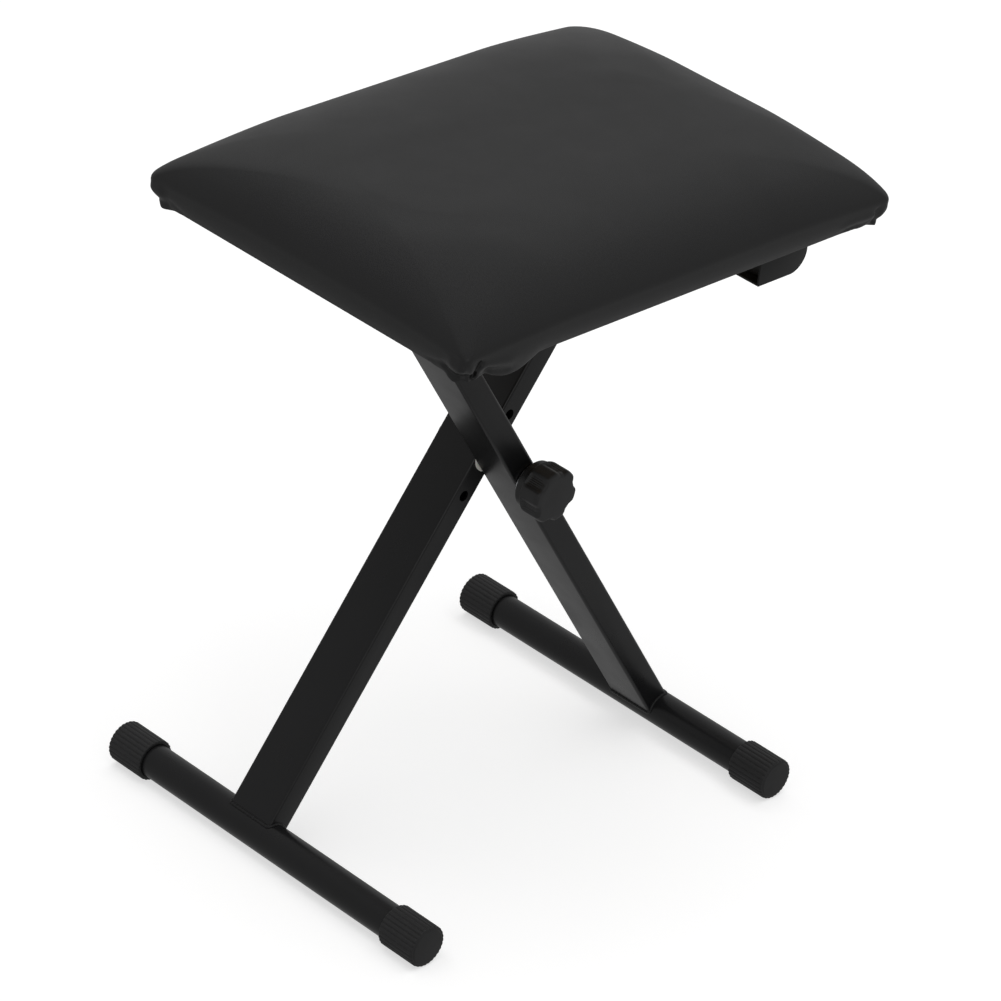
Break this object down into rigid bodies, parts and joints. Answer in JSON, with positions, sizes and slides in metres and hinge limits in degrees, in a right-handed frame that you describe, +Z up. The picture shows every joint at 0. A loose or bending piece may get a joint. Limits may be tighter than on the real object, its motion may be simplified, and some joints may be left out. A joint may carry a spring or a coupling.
{
  "type": "folding piano bench",
  "caption": "Folding X-frame piano bench with a padded rectangular seat, tubular foot bars, ribbed rubber feet and a clamp knob at the crossing.",
  "frame": {"origin": "on the floor, at the middle of the bench's footprint box", "axes": "+Z up, X along the seat's long side with the two foot bars at -X and +X, Y along the foot bars with the clamp knob on the -Y side"},
  "size_m": [0.403, 0.311, 0.5074],
  "materials": {
    "black_vinyl": "satin synthetic leather, smooth fine grain",
    "black_powder_coat": "semi-gloss black powder coat",
    "black_rubber": "matt moulded rubber",
    "black_plastic": "satin moulded plastic",
    "zinc_steel": "bright zinc plate",
    "natural_nylon": "natural off-white nylon",
    "plywood": "raw plywood"
  },
  "bodies": {
    "rear_leg_frame": {"rear_leg": "black_powder_coat", "rear_leg_sleeve": "zinc_steel", "left_foot_bar": "black_powder_coat", "left_front_foot_cap": "black_rubber", "left_rear_foot_cap": "black_rubber", "rear_leg_crossbar": "black_powder_coat", "pivot_bolt": "zinc_steel", "friction_washer": "natural_nylon"},
    "front_leg_frame": {"front_leg": "black_powder_coat", "front_leg_sleeve": "zinc_steel", "right_foot_bar": "black_powder_coat", "right_front_foot_cap": "black_rubber", "right_rear_foot_cap": "black_rubber", "front_leg_crossbar": "black_powder_coat", "crossbar_front_cap": "black_rubber", "crossbar_rear_cap": "black_rubber"},
    "seat": {"seat_pad": "black_vinyl", "seat_board": "plywood", "right_front_bracket": "black_powder_coat", "right_rear_bracket": "black_powder_coat", "left_front_bracket": "black_powder_coat", "left_rear_bracket": "black_powder_coat", "front_crossbar_bush": "black_plastic", "rear_crossbar_bush": "black_plastic", "right_front_bracket_screw_1": "zinc_steel", "right_front_bracket_screw_2": "zinc_steel", "right_rear_bracket_screw_1": "zinc_steel", "right_rear_bracket_screw_2": "zinc_steel", "left_front_bracket_screw_1": "zinc_steel", "left_front_bracket_screw_2": "zinc_steel", "left_rear_bracket_screw_1": "zinc_steel", "left_rear_bracket_screw_2": "zinc_steel"},
    "knob_washer": {"knob_washer": "zinc_steel"},
    "knob": {"knob": "black_plastic", "knob_insert": "zinc_steel"}
  },
  "joints": [
    {"name": "scissor_fold", "type": "hinge", "parent": "rear_leg_frame", "child": "front_leg_frame", "pos_m": [-0.005, 0, 0.2655], "axis": [0, 1, 0], "range_deg": [-6, 56]},
    {"name": "seat_level", "type": "hinge", "parent": "rear_leg_frame", "child": "seat", "pos_m": [0.1178, 0, 0.4434], "axis": [0, 1, 0], "range_deg": [-8, 28]},
    {"name": "knob_back_off", "type": "slide", "parent": "rear_leg_frame", "child": "knob_washer", "axis": [0, -1, 0], "range_m": [0, 0.0045]},
    {"name": "knob_turn", "type": "hinge", "parent": "knob_washer", "child": "knob", "pos_m": [-0.005, -0.055, 0.2655], "axis": [0, -1, 0], "range_deg": [0, 1080]}
  ],
  "couplings": [
    {"joint": "seat_level", "follows": "scissor_fold", "ratio": 0.5},
    {"joint": "knob_back_off", "follows": "knob_turn", "m_per_rad": 0.00023}
  ]
}
